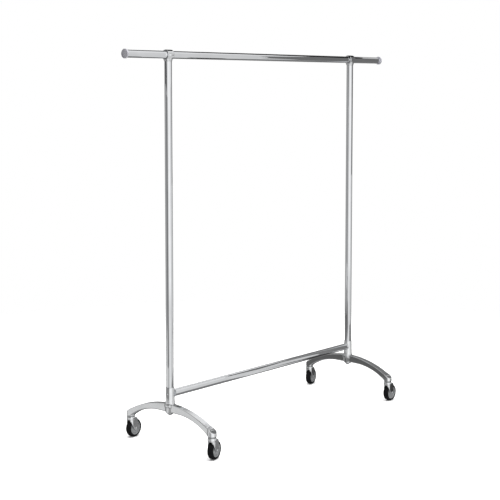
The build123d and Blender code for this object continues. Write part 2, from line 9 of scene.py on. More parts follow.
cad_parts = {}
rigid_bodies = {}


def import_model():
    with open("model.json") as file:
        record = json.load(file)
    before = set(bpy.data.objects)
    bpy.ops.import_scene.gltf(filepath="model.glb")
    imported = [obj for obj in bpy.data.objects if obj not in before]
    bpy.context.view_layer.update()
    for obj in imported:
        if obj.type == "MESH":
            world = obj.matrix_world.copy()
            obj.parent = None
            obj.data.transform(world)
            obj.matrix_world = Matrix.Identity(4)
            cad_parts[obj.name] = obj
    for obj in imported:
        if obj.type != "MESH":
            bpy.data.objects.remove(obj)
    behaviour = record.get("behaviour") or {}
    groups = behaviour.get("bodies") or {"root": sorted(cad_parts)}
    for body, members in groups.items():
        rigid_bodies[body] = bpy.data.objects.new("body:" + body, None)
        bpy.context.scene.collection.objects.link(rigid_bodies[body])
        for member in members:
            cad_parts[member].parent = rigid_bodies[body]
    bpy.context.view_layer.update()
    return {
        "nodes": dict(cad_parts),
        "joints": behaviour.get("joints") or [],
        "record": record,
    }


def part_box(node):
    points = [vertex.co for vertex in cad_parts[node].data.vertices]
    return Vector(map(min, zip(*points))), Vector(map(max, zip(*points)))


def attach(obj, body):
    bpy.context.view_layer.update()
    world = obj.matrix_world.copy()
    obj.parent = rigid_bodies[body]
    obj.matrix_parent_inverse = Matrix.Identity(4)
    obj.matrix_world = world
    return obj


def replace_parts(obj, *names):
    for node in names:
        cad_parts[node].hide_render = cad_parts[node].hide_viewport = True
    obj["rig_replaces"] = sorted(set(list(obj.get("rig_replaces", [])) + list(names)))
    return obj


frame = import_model()

# A chrome rolling clothes rack.  Shapes are drawn in millimetres and placed in metres.
MM = 0.001

# ---- Profile sizes, in millimetres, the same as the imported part's ----
TUBE_R = 16.0
TUBE_BORE_R = 14.5
# The arched feet, with a boss over each caster.
FOOT_TOP_Z = 194.5
ARCH_TOP_R = 480.0
ARCH_UNDER_Z = 158.0
ARCH_UNDER_R = 290.0
ARCH_UNDER_FLAT = 60.0
ARM_HALF_HUB = 11.5
ARM_HALF_TIP = 18.5
ARM_DRAFT = math.tan(math.radians(4.0))
BOSS_R = 19.0
BOSS_Z = 100.0
# The sleeve, collar and hub that hold each post, and the pad that the cross bar stands on.
SLEEVE_TOP_Z = 266.0
SLEEVE_FOOT_Z = 206.0
SLEEVE_TOP_R = 18.4
SLEEVE_FOOT_R = 19.9
COLLAR_R = 22.0
COLLAR_TOP_Z = 193.0
COLLAR_UNDER_Z = 182.0
HUB_R = 18.2
HUB_ROUND_Z = 163.0
HUB_UNDER_Z = 150.0
PAD_R = 16.6
PAD_REACH = 23.0
# The tees round the hanging bar, and the bar's end caps.
RING_R = 21.45
RING_HALF = 18.0
RING_RECESS_R = 18.6
NECK_TOP_R = 20.5
NECK_FOOT_R = 17.2
NECK_DROP = 27.0
CAP_R = 19.8
CAP_THICK = 7.0
CAP_DOME = 1.6
# The wheels, and the forks that hold them.
WHEEL_R = 39.95
TYRE_INNER_R = 30.0
TYRE_HALF = 13.5
TREAD_CROWN = 0.8
CROWN_R = 17.6
CROWN_BULGE = 1.4
CROWN_TOP_Z = 94.4
CROWN_UNDER_Z = 79.0
CROWN_WEB_Z = 86.2
CROWN_POCKET_R = 12.5
WHEEL_GAP = 1.6
ARM_INNER_Y = 14.2
ARM_THICK = 3.2
ARM_FRONT_R = 18.6
ARM_FRONT_TOP = (-15.6, 84.0)
ARM_FRONT_KNEE = (-12.4, 57.0)
ARM_KNEE_FILLET = 14.0
ARM_REAR_TOP_Z = 90.0
ARM_REAR_FILLET = 13.0
ARM_END_R = 8.8
# The caster stems with their race plates, and the screws.
RACE_R = 17.5
RACE_UNDER_Z = 95.2
RACE_TOP_Z = 98.2
STEM_R = 6.0
STEM_TOP_Z = 119.6
CROSS_BOLT_SEAT = 17.6
POST_SCREW_DROP = 15.0
SHANK_INTO_HEAD = 0.2
# Heads: radius, height, and the socket's radius and depth where there is one.
CROSS_BOLT_HEAD = (6.4, 3.8, 3.2, 2.2)
FOOT_BOLT_HEAD = (8.5, 5.6, 4.25, 3.4)
POST_SCREW_HEAD = (4.6, 2.4, 2.3, 1.5)
AXLE_HEAD = (6.0, 2.8)
# Shanks: radius, length, chamfer and how many steps go round.
CROSS_BOLT_SHANK = (4, 60, 0.6, 32)
FOOT_BOLT_SHANK = (5, 57, 0.8, 32)
POST_SCREW_SHANK = (2.5, 10.8, 0.5, 24)
# The axle's nut: radius over its corners, height, and radius of its bore.
AXLE_NUT = (6.4, 4.0, 3.1)
FOOT_WASHER_THICK = 1.6
AXLE_R = 3.0
AXLE_FROM = -17.2
AXLE_TO = 22.6

# ---- Edge roundings and fillets, in millimetres ----
ARM_TOP_EDGE = 1.8
ARM_UNDER_EDGE = 5.5
ARM_DRAFT_SHARE = 0.45
BOSS_TOP_EDGE = 1.5
BOSS_FOOT_EDGE = 1.2
BOSS_FILLET = 3.5
COLLAR_EDGE = 2.5
BARREL_ROUND_SHARE = 0.75
BARREL_FILLET = 2.0
SLEEVE_FILLET = 4.0
HUB_FILLET = 7.0
TEE_RIM_EDGE = 2.6
TEE_FOOT_EDGE = 1.2
TEE_FILLET = 3.0
TEE_RECESS_DEPTH = 3.0
NECK_TAPER = 17.0
BAR_PLAY = 0.2
CROWN_EDGE = 1.0
FORK_ARM_EDGE = 1.0
FORK_SHEET_EDGE = 0.4
FORK_FILLET = 1.4
WHEEL_ROOM_EDGE = 0.9
CROWN_POCKET_EDGE = 0.6

# ---- How finely the cast shapes are skinned: cell sizes in millimetres ----
FOOT_CELL = 1.2
TEE_CELL = 0.95
FORK_CELL = 0.55
SKIN_PULLS = 3
PROBE_SHARE = 0.05
LEAST_SLOPE = 0.2
LONGEST_PULL = 0.6

# ---- Outlines of turned pieces: (radius, height, rounding) corners in millimetres ----
SLEEVE_OUTLINE = (
    (TUBE_R - 1, SLEEVE_FOOT_Z - 6),
    (SLEEVE_FOOT_R - 0.1, SLEEVE_FOOT_Z - 6),
    (SLEEVE_TOP_R, SLEEVE_TOP_Z, 0.9),
    (TUBE_R + 0.25, SLEEVE_TOP_Z, 0.4),
    (TUBE_R + 0.25, SLEEVE_TOP_Z - 6),
    (TUBE_R - 1, SLEEVE_TOP_Z - 6),
)
PAD_OUTLINE = (
    (0, TUBE_R),
    (PAD_R + 1.4, TUBE_R),
    (PAD_R, 19.5, 2.0),
    (PAD_R, PAD_REACH, 0.7),
    (0, PAD_REACH),
)
HUB_OUTLINE = (
    (5.6, 13.0),
    (7.4, 13.5, 0.4),
    (10.2, 13.5, 0.9),
    (11.4, 7.2, 1.6),
    (17.2, 6.6, 1.2),
    (18.4, 8.4, 0.8),
    (21.6, 8.4, 0.8),
    (22.6, 6.6, 1.0),
    (25.2, 6.6, 1.2),
    (26.6, 11.3, 0.7),
    (TYRE_INNER_R - 0.1, 11.3),
)
FOOT_WASHER_OUTLINE = (
    (5.3, 0, 0.2),
    (9.3, 0, 0.5),
    (9.3, FOOT_WASHER_THICK, 0.3),
    (5.3, FOOT_WASHER_THICK, 0.2),
)
GRUB_OUTLINE = (
    (0, 0.1),
    (2.4, 0.1),
    (3.0, 0.8),
    (3.0, 4.7),
    (2.6, 5.0),
    (1.5, 5.0),
    (1.5, 2.2),
    (0, 1.9),
)
AXLE_OUTLINE = (
    (0, AXLE_FROM),
    (AXLE_R, AXLE_FROM),
    (AXLE_R, AXLE_TO, 0.5),
    (0, AXLE_TO),
)
RACE_OUTLINE = (
    (0, RACE_UNDER_Z),
    (RACE_R - 1.0, RACE_UNDER_Z, 0.3),
    (RACE_R, RACE_UNDER_Z + 0.8, 0.4),
    (RACE_R, RACE_TOP_Z - 0.9, 0.5),
    (RACE_R - 1.6, RACE_TOP_Z, 0.4),
    (STEM_R, RACE_TOP_Z),
    (STEM_R, STEM_TOP_Z - 0.6, 0.6),
    (0, STEM_TOP_Z),
)
KING_PIN_OUTLINE = (
    (0, 96),
    (4.5, 96),
    (4.5, 85.8, 0.3),
    (7.5, 85.8, 0.4),
    (7.5, 84.6, 0.6),
    (5.6, 83.4, 0.8),
    (0, 83.4),
)
CASTER_WASHER_OUTLINE = (
    (6.4, RACE_TOP_Z),
    (12, RACE_TOP_Z, 0.3),
    (12, BOSS_Z, 0.3),
    (6.4, BOSS_Z),
)

CORNERS = ("left_front", "left_rear", "right_front", "right_rear")
SIDES = ("left", "right")
SIDE_SIGN = {"left": -1, "right": 1}


# ---- Places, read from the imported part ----
def middle(node):
    """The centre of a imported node's box."""
    lo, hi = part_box(node)
    return (lo + hi) / 2


joints = {j["name"]: j for j in frame["joints"]}
swivel_at = {c: Vector(joints[c + "_caster_swivel"]["pos_m"]) for c in CORNERS}
axle_at = {c: Vector(joints[c + "_wheel_spin"]["pos_m"]) for c in CORNERS}
STEM_Y = swivel_at["right_rear"].y / MM
TRAIL = (axle_at["left_rear"] - swivel_at["left_rear"]).to_2d().length / MM
AXLE_Z = axle_at["left_rear"].z / MM
POST_X = swivel_at["right_rear"].x / MM
BAR_Z = middle("hanging_bar").z / MM
BAR_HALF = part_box("hanging_bar")[1].x / MM
CROSS_Z = middle("lower_cross_bar").z / MM
CROSS_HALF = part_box("lower_cross_bar")[1].x / MM
POST_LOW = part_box("post_left")[0].z / MM
POST_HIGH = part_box("post_left")[1].z / MM


def move(x=0.0, y=0.0, z=0.0):
    """A shift, in millimetres."""
    return Matrix.Translation((x, y, z))


def turn(degrees, axis="Z"):
    """A turn about one axis."""
    return Matrix.Rotation(math.radians(degrees), 4, axis)


def at_side(side, facing=True):
    """The place of a piece at a post; where facing, the right one faces the other way."""
    if side == "left":
        return move(-POST_X)
    return move(POST_X) @ (turn(180) if facing else Matrix.Identity(4))


def at_corner(corner):
    """The place of a caster piece, whose trail points along its own +X."""
    trail = axle_at[corner] - swivel_at[corner]
    stem = swivel_at[corner]
    return move(stem.x / MM, stem.y / MM) @ Matrix.Rotation(math.atan2(trail.y, trail.x), 4, "Z")


# ---- Mesh tools ----
def shells(parts, sharp=32.0):
    """One mesh from (points, faces) shells in millimetres, smooth but for its sharp edges."""
    points, faces, start = [], [], 0
    for p, f in parts:
        points.append(np.asarray(p, float))
        faces += [tuple(int(i) + start for i in face) for face in f]
        start += len(p)
    mesh = bpy.data.meshes.new("shape")
    mesh.from_pydata(np.concatenate(points) * MM, [], faces)
    bm = bmesh.new()
    bm.from_mesh(mesh)
    bmesh.ops.recalc_face_normals(bm, faces=bm.faces)
    for edge in bm.edges:
        edge.smooth = edge.is_manifold and edge.calc_face_angle(0) < math.radians(sharp)
    for face in bm.faces:
        face.smooth = True
    bm.to_mesh(mesh)
    bm.free()
    return mesh


def placed(part, place):
    """The shell, moved to its place."""
    p, f = part
    m = np.array(place)
    return np.asarray(p) @ m[:3, :3].T + m[:3, 3], f


def piece(name, parts, body, finish, nodes, sharp=32.0):
    """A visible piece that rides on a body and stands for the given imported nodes."""
    obj = bpy.data.objects.new(name, shells(parts, sharp))
    bpy.context.scene.collection.objects.link(obj)
    obj.data.materials.append(finish["material"])
    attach(obj, body)
    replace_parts(obj, *nodes)
    return obj


def rounded(corners, steps=5):
    """An outline from (radius, height, rounding) corners, each rounded by its own radius."""
    out, n = [], len(corners)
    for i in range(n):
        p = np.array(corners[i][:2], float)
        r = corners[i][2] if len(corners[i]) > 2 else 0.0
        a = np.array(corners[i - 1][:2], float) - p
        b = np.array(corners[(i + 1) % n][:2], float) - p
        la, lb = np.linalg.norm(a), np.linalg.norm(b)
        if r <= 0 or la < 1e-9 or lb < 1e-9:
            out.append(tuple(p))
            continue
        a, b = a / la, b / lb
        half = math.acos(max(-1.0, min(1.0, float(a @ b)))) / 2
        if half > math.radians(89.5):
            out.append(tuple(p))
            continue
        back = min(r / math.tan(half), la * 0.49, lb * 0.49)
        r = back * math.tan(half)
        centre = p + (a + b) / np.linalg.norm(a + b) * (r / math.sin(half))
        s, e = p + a * back - centre, p + b * back - centre
        a0, a1 = math.atan2(s[1], s[0]), math.atan2(e[1], e[0])
        sweep = (a1 - a0 + math.pi) % (2 * math.pi) - math.pi
        for k in range(steps):
            t = a0 + sweep * k / (steps - 1)
            out.append((centre[0] + r * math.cos(t), centre[1] + r * math.sin(t)))
    return out


def lathe(outline, steps=96, closed=True):
    """A shell of revolution about Z from (radius, height) points; a closed outline makes a ring."""
    rings, poles = [], {}
    points, faces = [], []
    for i, (r, z) in enumerate(outline):
        if r < 1e-6:
            poles[i] = len(points)
            points.append((0, 0, z))
            rings.append(None)
            continue
        rings.append(len(points))
        for k in range(steps):
            t = 2 * math.pi * k / steps
            points.append((r * math.cos(t), r * math.sin(t), z))
    count = len(outline) if closed else len(outline) - 1
    for i in range(count):
        j = (i + 1) % len(outline)
        a, b = rings[i], rings[j]
        if a is None and b is None:
            continue
        for k in range(steps):
            m = (k + 1) % steps
            if a is None:
                faces.append((poles[i], b + m, b + k))
            elif b is None:
                faces.append((a + k, a + m, poles[j]))
            else:
                faces.append((a + k, a + m, b + m, b + k))
    return np.array(points), faces


def many_sided(rings, sides, steps=12):
    """A solid with flats: (height, flat radius, round radius) rings, cut to whichever is smaller."""
    total = sides * steps
    points = [(0, 0, rings[0][0])]
    for z, flat, limit in rings:
        for k in range(total):
            t = 2 * math.pi * k / total
            off = (t + math.pi / sides) % (2 * math.pi / sides) - math.pi / sides
            r = min(flat / math.cos(off), limit)
            points.append((r * math.cos(t), r * math.sin(t), z))
    points.append((0, 0, rings[-1][0]))
    last = len(points) - 1
    faces = []
    for k in range(total):
        m = (k + 1) % total
        faces.append((0, 1 + m, 1 + k))
        for i in range(len(rings) - 1):
            a, b = 1 + i * total, 1 + (i + 1) * total
            faces.append((a + k, a + m, b + m, b + k))
        end = 1 + (len(rings) - 1) * total
        faces.append((end + k, end + m, last))
    return np.array(points), faces


# ---- Cast shapes: a field that is negative inside the metal, skinned with quads ----
def join(a, b, r):
    """Either shape, with a fillet of radius r where they meet."""
    return np.maximum(r, np.minimum(a, b)) - np.hypot(np.maximum(r - a, 0), np.maximum(r - b, 0))


def meet(a, b, r):
    """Both shapes at once, with the edge between them rounded to radius r."""
    return np.minimum(-r, np.maximum(a, b)) + np.hypot(np.maximum(r + a, 0), np.maximum(r + b, 0))


def skin(field, lo, hi, step):
    """The surface of a field, as one vertex per crossed cell, pulled onto the surface."""
    lo = np.array(lo, float)
    n = np.ceil((np.array(hi) - lo) / step).astype(int) + 1
    axes = [lo[i] + step * np.arange(n[i]) for i in range(3)]
    x, y, z = np.meshgrid(*axes, indexing="ij")
    values = field(x, y, z)
    inside = values < 0
    sums = np.zeros(tuple(n - 1) + (3,))
    counts = np.zeros(tuple(n - 1))
    quads = []
    number = -np.ones(tuple(n - 1), int)
    crossings = []
    for axis in range(3):
        a = [slice(None)] * 3
        b = [slice(None)] * 3
        a[axis], b[axis] = slice(0, -1), slice(1, None)
        va, vb = values[tuple(a)], values[tuple(b)]
        cross = (va < 0) != (vb < 0)
        idx = np.argwhere(cross)
        t = va[cross] / (va[cross] - vb[cross])
        p = lo + step * idx.astype(float)
        p[:, axis] += step * t
        others = [i for i in range(3) if i != axis]
        keep = np.ones(len(idx), bool)
        for o in others:
            keep &= (idx[:, o] > 0) & (idx[:, o] < n[o] - 1)
        idx, p = idx[keep], p[keep]
        for da in (0, 1):
            for db in (0, 1):
                cell = idx.copy()
                cell[:, others[0]] -= da
                cell[:, others[1]] -= db
                np.add.at(sums, tuple(cell.T), p)
                np.add.at(counts, tuple(cell.T), 1)
        crossings.append((axis, idx, others, inside[tuple(idx.T)]))
    used = counts > 0
    number[used] = np.arange(used.sum())
    points = sums[used] / counts[used][:, None]
    for axis, idx, others, start_inside in crossings:
        cells = []
        for da, db in ((0, 0), (1, 0), (1, 1), (0, 1)):
            cell = idx.copy()
            cell[:, others[0]] -= da
            cell[:, others[1]] -= db
            cells.append(number[tuple(cell.T)])
        q = np.stack(cells, 1)
        flip = start_inside if axis != 1 else ~start_inside
        q[flip] = q[flip][:, ::-1]
        quads.append(q)
    e = step * PROBE_SHARE
    for _ in range(SKIN_PULLS):
        px, py, pz = points.T
        v = field(px, py, pz)
        g = np.stack(
            [
                (field(px + e, py, pz) - field(px - e, py, pz)) / (2 * e),
                (field(px, py + e, pz) - field(px, py - e, pz)) / (2 * e),
                (field(px, py, pz + e) - field(px, py, pz - e)) / (2 * e),
            ],
            1,
        )
        size = np.maximum((g**2).sum(1), LEAST_SLOPE)
        shift = -g * (v / size)[:, None]
        length = np.linalg.norm(shift, axis=1)
        shift *= np.minimum(1.0, step * LONGEST_PULL / np.maximum(length, 1e-9))[:, None]
        points = points + shift
    return points, [tuple(f) for f in np.concatenate(quads)]


def cone_side(r, z, r_low, z_low, r_high, z_high):
    """Distance to the side of a cone that passes through two (radius, height) points."""
    slope = (r_high - r_low) / (z_high - z_low)
    return (r - (r_low + slope * (z - z_low))) / math.hypot(1, slope)


def foot_field(x, y, z):
    """Arched foot with its hub and two caster bosses; the cross bar's pad is added by foot_shells."""
    ay = np.abs(y)
    top = np.hypot(y, z - (FOOT_TOP_Z - ARCH_TOP_R)) - ARCH_TOP_R
    reach = np.maximum(ay - ARCH_UNDER_FLAT, 0)
    under = ARCH_UNDER_R - np.hypot(reach, z - (ARCH_UNDER_Z - ARCH_UNDER_R))
    widen = (ARM_HALF_TIP - ARM_HALF_HUB) / STEM_Y
    half = ARM_HALF_HUB + widen * ay - ARM_DRAFT * (FOOT_TOP_Z - z) * ARM_DRAFT_SHARE
    side = (np.abs(x) - half) / math.hypot(1, ARM_DRAFT)
    arm = meet(meet(side, top, ARM_TOP_EDGE), under, ARM_UNDER_EDGE)
    arm = np.maximum(arm, ay - STEM_Y)
    arm = np.maximum(arm, BOSS_Z + 0.4 - z)
    boss = np.hypot(x, ay - STEM_Y) - BOSS_R
    boss = meet(meet(boss, top, BOSS_TOP_EDGE), BOSS_Z - z, BOSS_FOOT_EDGE)
    body = join(arm, boss, BOSS_FILLET)

    r = np.hypot(x, y)
    collar = meet(r - COLLAR_R, z - COLLAR_TOP_Z, COLLAR_EDGE)
    collar = meet(collar, COLLAR_UNDER_Z - z, COLLAR_EDGE)
    sleeve = cone_side(r, z, SLEEVE_FOOT_R, SLEEVE_FOOT_Z, SLEEVE_TOP_R, SLEEVE_TOP_Z)
    sleeve = np.maximum(sleeve, z - SLEEVE_FOOT_Z)
    drop = HUB_ROUND_Z - HUB_UNDER_Z
    barrel = meet(r - HUB_R, HUB_UNDER_Z - z, drop * BARREL_ROUND_SHARE)
    barrel = np.maximum(barrel, z - COLLAR_TOP_Z)
    hub = join(collar, barrel, BARREL_FILLET)
    hub = join(hub, np.maximum(sleeve, COLLAR_UNDER_Z - z), SLEEVE_FILLET)
    return join(body, hub, HUB_FILLET)


def foot_shells():
    """The casting's skin, with the sleeve above its collar and the bar's pad turned on."""
    lo = (-COLLAR_R - 4, -STEM_Y - BOSS_R - 4, BOSS_Z - 4)
    hi = (COLLAR_R + 4, STEM_Y + BOSS_R + 4, SLEEVE_FOOT_Z + 4)
    body = skin(foot_field, lo, hi, FOOT_CELL)
    sleeve = lathe(rounded(SLEEVE_OUTLINE))
    pad = lathe(rounded(PAD_OUTLINE), closed=False)
    return [body, sleeve, placed(pad, move(z=CROSS_Z) @ turn(90, "Y"))]


def connector_field(x, y, z):
    """Cast tee: a ring round the bar along X, flowing into a round neck below it."""
    r = np.hypot(y, z)
    ring = meet(r - RING_R, np.abs(x) - RING_HALF, TEE_RIM_EDGE)
    down = np.hypot(x, y)
    neck = cone_side(down, z, NECK_FOOT_R, -NECK_DROP, NECK_TOP_R, -NECK_DROP + NECK_TAPER)
    neck = meet(neck, -NECK_DROP - z, TEE_FOOT_EDGE)
    neck = np.maximum(neck, z)
    neck = np.maximum(neck, np.abs(x) - RING_HALF)
    body = join(ring, neck, TEE_FILLET)
    bore = r - (TUBE_R + BAR_PLAY)
    body = np.maximum(body, -bore)
    recess = np.maximum(r - RING_RECESS_R, RING_HALF - TEE_RECESS_DEPTH - np.abs(x))
    return np.maximum(body, -recess)


def connector_shells():
    """The tee's skin, raised to the hanging bar."""
    lo = (-RING_HALF - 3, -RING_R - 3, -NECK_DROP - 3)
    hi = (RING_HALF + 3, RING_R + 3, RING_R + 3)
    return [placed(skin(connector_field, lo, hi, TEE_CELL), move(z=BAR_Z))]


def half_plane(x, z, start, end):
    """Signed distance to a line, negative on the left of the way from start to end."""
    run = np.array(end, float) - np.array(start, float)
    run /= np.linalg.norm(run)
    return (x - start[0]) * run[1] - (z - start[1]) * run[0]


def blade_field(x, z):
    """Side view of the fork's arms: broad under the crown, round at the axle."""
    reach = (TRAIL - ARM_FRONT_KNEE[0], AXLE_Z - ARM_FRONT_KNEE[1])
    slope = math.atan2(reach[1], reach[0]) - math.asin(ARM_END_R / math.hypot(*reach))
    below = (ARM_FRONT_KNEE[0] + math.cos(slope), ARM_FRONT_KNEE[1] + math.sin(slope))
    front = half_plane(x, z, ARM_FRONT_TOP, ARM_FRONT_KNEE)
    lower = half_plane(x, z, ARM_FRONT_KNEE, below)
    rear = meet(x - (TRAIL + ARM_END_R), z - ARM_REAR_TOP_Z, ARM_REAR_FILLET)
    sides = np.maximum(meet(front, lower, ARM_KNEE_FILLET), rear)
    tip = np.hypot(x - TRAIL, z - AXLE_Z) - ARM_END_R
    past = (x - TRAIL) * math.cos(slope) + (z - AXLE_Z) * math.sin(slope)
    return np.where((past > 0) & (z < AXLE_Z), tip, sides)


def fork_field(x, y, z):
    """Fork crown, and a broad arm on each side that wraps round the crown's front."""
    ay = np.abs(y)
    r = np.hypot(x, y)
    mid = (CROWN_TOP_Z + CROWN_UNDER_Z) / 2
    half = (CROWN_TOP_Z - CROWN_UNDER_Z) / 2
    bulge = CROWN_R + CROWN_BULGE * (1 - ((z - mid) / half) ** 2)
    crown = meet(r - bulge, np.abs(z - mid) - half, CROWN_EDGE)
    outside = np.minimum(r - ARM_FRONT_R, np.maximum(ay - (ARM_INNER_Y + ARM_THICK), -x))
    inside = np.minimum(r - (ARM_FRONT_R - ARM_THICK), np.maximum(ay - ARM_INNER_Y, -x))
    arms = meet(meet(outside, -inside, FORK_SHEET_EDGE), blade_field(x, z), FORK_ARM_EDGE)
    body = join(crown, arms, FORK_FILLET)
    wheel_room = np.hypot(x - TRAIL, z - AXLE_Z) - (WHEEL_R + WHEEL_GAP)
    wheel_room = np.maximum(wheel_room, ay - ARM_INNER_Y)
    pocket = np.maximum(r - CROWN_POCKET_R, z - CROWN_WEB_Z)
    return meet(meet(body, -wheel_room, WHEEL_ROOM_EDGE), -pocket, CROWN_POCKET_EDGE)


def fork_shells():
    """The fork's skin, with its trail along +X."""
    lo = (-ARM_FRONT_R - 4, -ARM_FRONT_R - 4, AXLE_Z - ARM_END_R - 3)
    hi = (TRAIL + ARM_END_R + 3, ARM_FRONT_R + 4, CROWN_TOP_Z + 3)
    return [skin(fork_field, lo, hi, FORK_CELL)]


# ---- Turned shapes ----
def tube_shell(low, high, lip=0.5):
    """A round tube with its ends broken."""
    return lathe(
        rounded(
            [
                (TUBE_BORE_R, low, 0.3),
                (TUBE_R, low, lip),
                (TUBE_R, high, lip),
                (TUBE_BORE_R, high, 0.3),
            ],
            3,
        ),
        steps=128,
    )


def cap_shell():
    """Button-shaped end cap, its front at +Z and the tube's end at z = 0."""
    dome_r = (CAP_R**2 + CAP_DOME**2) / (2 * CAP_DOME)
    front = []
    for share in np.linspace(0, 0.86, 12):
        r = CAP_R * share
        front.append((r, CAP_THICK - dome_r + math.sqrt(dome_r**2 - r**2)))
    rim = rounded(
        [
            front[-1],
            (CAP_R, CAP_THICK - CAP_DOME, 2.0),
            (CAP_R, 3.2, 0.3),
            (CAP_R - 0.5, 2.7, 0.3),
            (CAP_R - 0.5, 2.1, 0.3),
            (CAP_R, 1.6, 0.3),
            (CAP_R, 0.0, 0.5),
            (TUBE_BORE_R - 0.1, 0.0),
            (TUBE_BORE_R - 0.1, -15.0, 1.0),
            (0, -15.0),
        ],
        6,
    )
    return lathe(front[:-1] + rim, steps=128, closed=False)


def dome_head(radius, height, socket=0.0, depth=0.0):
    """A domed screw head on z = 0, rising to +Z, with an optional round socket."""
    r = (radius**2 + height**2) / (2 * height)
    inner = socket * 1.12 if socket else 0.0
    spread = math.asin(radius / r)
    outline = []
    for a in np.linspace(spread, math.asin(min(1.0, inner / r)) if inner else 0.0, 14):
        outline.append((r * math.sin(a), height - r + r * math.cos(a)))
    if inner:
        z = outline[-1][1]
        outline[-1] = (inner, z)
        outline += [(socket, z - socket * 0.10), (socket, z - depth), (0, z - depth - socket * 0.3)]
    base = [(0, -0.4), (radius - 0.3, -0.4), (radius, 0.0)]
    return lathe(base + outline[1:], steps=48, closed=False)


def shank(radius, length, chamfer, steps):
    """A screw's shank, from just inside its head down to its tip."""
    outline = [(0, -length), (radius, -length, chamfer), (radius, SHANK_INTO_HEAD), (0, SHANK_INTO_HEAD)]
    return lathe(rounded(outline), steps=steps, closed=False)


def hex_nut(corner_r, height, bore):
    """A lock nut: chamfered flats and a round collar on top."""
    flat = corner_r * math.cos(math.pi / 6)
    rings = [
        (0.0, flat, corner_r - 0.6),
        (0.6, flat, corner_r + 1),
        (height - 1.2, flat, corner_r + 1),
        (height - 0.6, flat, corner_r - 0.7),
        (height - 0.55, flat - 0.7, flat - 0.7),
        (height - 0.1, flat - 0.9, flat - 0.9),
        (height, bore, bore),
    ]
    return many_sided(rings, 6)


def tyre_shell():
    """Tyre with a gently crowned tread, round shoulders and a moulded bead by the hub."""
    half = TYRE_HALF
    edge = WHEEL_R - TREAD_CROWN
    side = rounded(
        [
            (TYRE_INNER_R, 0.0),
            (TYRE_INNER_R, half - 0.9, 0.5),
            (TYRE_INNER_R + 0.9, half - 0.1, 0.5),
            (TYRE_INNER_R + 1.8, half - 0.1, 0.5),
            (TYRE_INNER_R + 2.3, half - 0.7, 0.4),
            (edge - 2.0, half - 0.5, 3.4),
            (edge - 0.1, half - 4.9, 2.2),
            (edge - 0.1, 0.0),
        ],
        7,
    )[1:-1]
    tread = []
    for share in np.linspace(0.62, 0.0, 6):
        tread.append((WHEEL_R - TREAD_CROWN * share**2, half * share))
    upper = side + tread[:-1]
    lower = [(r, -z) for r, z in reversed(upper)]
    return lathe(upper + [(WHEEL_R, 0.0)] + lower, steps=144)


def hub_shell():
    """Moulded hub: barrel, dished web with a round ridge, and the rim under the tyre."""
    upper = rounded(HUB_OUTLINE)
    outline = upper + [(r, -z) for r, z in reversed(upper)]
    return lathe(outline, steps=128)


# ---- Materials ----
def nodes_of(name):
    """A new node material: itself, its tree, its shader and the object's own coordinates."""
    material = bpy.data.materials.new(name)
    material.use_nodes = True
    tree = material.node_tree
    tree.nodes.clear()
    out = tree.nodes.new("ShaderNodeOutputMaterial")
    shader = tree.nodes.new("ShaderNodeBsdfPrincipled")
    tree.links.new(shader.outputs["BSDF"], out.inputs["Surface"])
    where = tree.nodes.new("ShaderNodeTexCoord")
    return material, tree, shader, where.outputs["Object"]


def noise(tree, where, scale, detail=3.0, rough=0.55):
    """A noise value from 0 to 1, fixed to the object."""
    node = tree.nodes.new("ShaderNodeTexNoise")
    node.inputs["Scale"].default_value = scale
    node.inputs["Detail"].default_value = detail
    node.inputs["Roughness"].default_value = rough
    tree.links.new(where, node.inputs["Vector"])
    return node.outputs["Fac"]


def span(tree, value, low, high, start=0.3, end=0.7):
    """Spreads a noise value over a range."""
    node = tree.nodes.new("ShaderNodeMapRange")
    node.inputs["From Min"].default_value = start
    node.inputs["From Max"].default_value = end
    node.inputs["To Min"].default_value = low
    node.inputs["To Max"].default_value = high
    tree.links.new(value, node.inputs["Value"])
    return node.outputs["Result"]


def tint(tree, value, stops):
    """A colour from a value, by (position, colour) stops."""
    ramp = tree.nodes.new("ShaderNodeValToRGB")
    band = ramp.color_ramp
    while len(band.elements) < len(stops):
        band.elements.new(0.5)
    for element, (at, colour) in zip(band.elements, stops):
        element.position = at
        element.color = (*colour, 1)
    tree.links.new(value, ramp.inputs["Fac"])
    return ramp.outputs["Color"]


def add(tree, a, b, share):
    """a plus share times b."""
    node = tree.nodes.new("ShaderNodeMath")
    node.operation = "MULTIPLY_ADD"
    tree.links.new(b, node.inputs[0])
    node.inputs[1].default_value = share
    tree.links.new(a, node.inputs[2])
    return node.outputs[0]


def bump(tree, shader, height, strength, distance):
    """Raises a shader's surface by a height value; the distance is in metres."""
    node = tree.nodes.new("ShaderNodeBump")
    node.inputs["Strength"].default_value = strength
    node.inputs["Distance"].default_value = distance
    tree.links.new(height, node.inputs["Height"])
    tree.links.new(node.outputs["Normal"], shader.inputs["Normal"])


def metal(name, slot, low, high, rough, grain, wave, wave_depth):
    """Plated or plain metal: cloudy plating, fine grain, handling marks and a faint wave.

    rough holds the lowest and highest roughness of the marks, and the grain's share.
    """
    material, tree, shader, where = nodes_of(name)
    shader.inputs["Metallic"].default_value = 1.0
    cloud = noise(tree, where, 14, 4)
    grit = noise(tree, where, grain, 4, 0.6)
    marks = noise(tree, where, 55, 6, 0.7)
    colour = tint(tree, add(tree, cloud, marks, 0.35), [(0.42, low), (0.86, high)])
    tree.links.new(colour, shader.inputs["Base Color"])
    value = add(tree, span(tree, marks, rough[0], rough[1]), grit, rough[2])
    tree.links.new(value, shader.inputs["Roughness"])
    ripple = noise(tree, where, wave, 2, 0.4)
    bump(tree, shader, add(tree, ripple, grit, 0.12), 0.35, wave_depth)
    return {"material": material, "slot": slot}


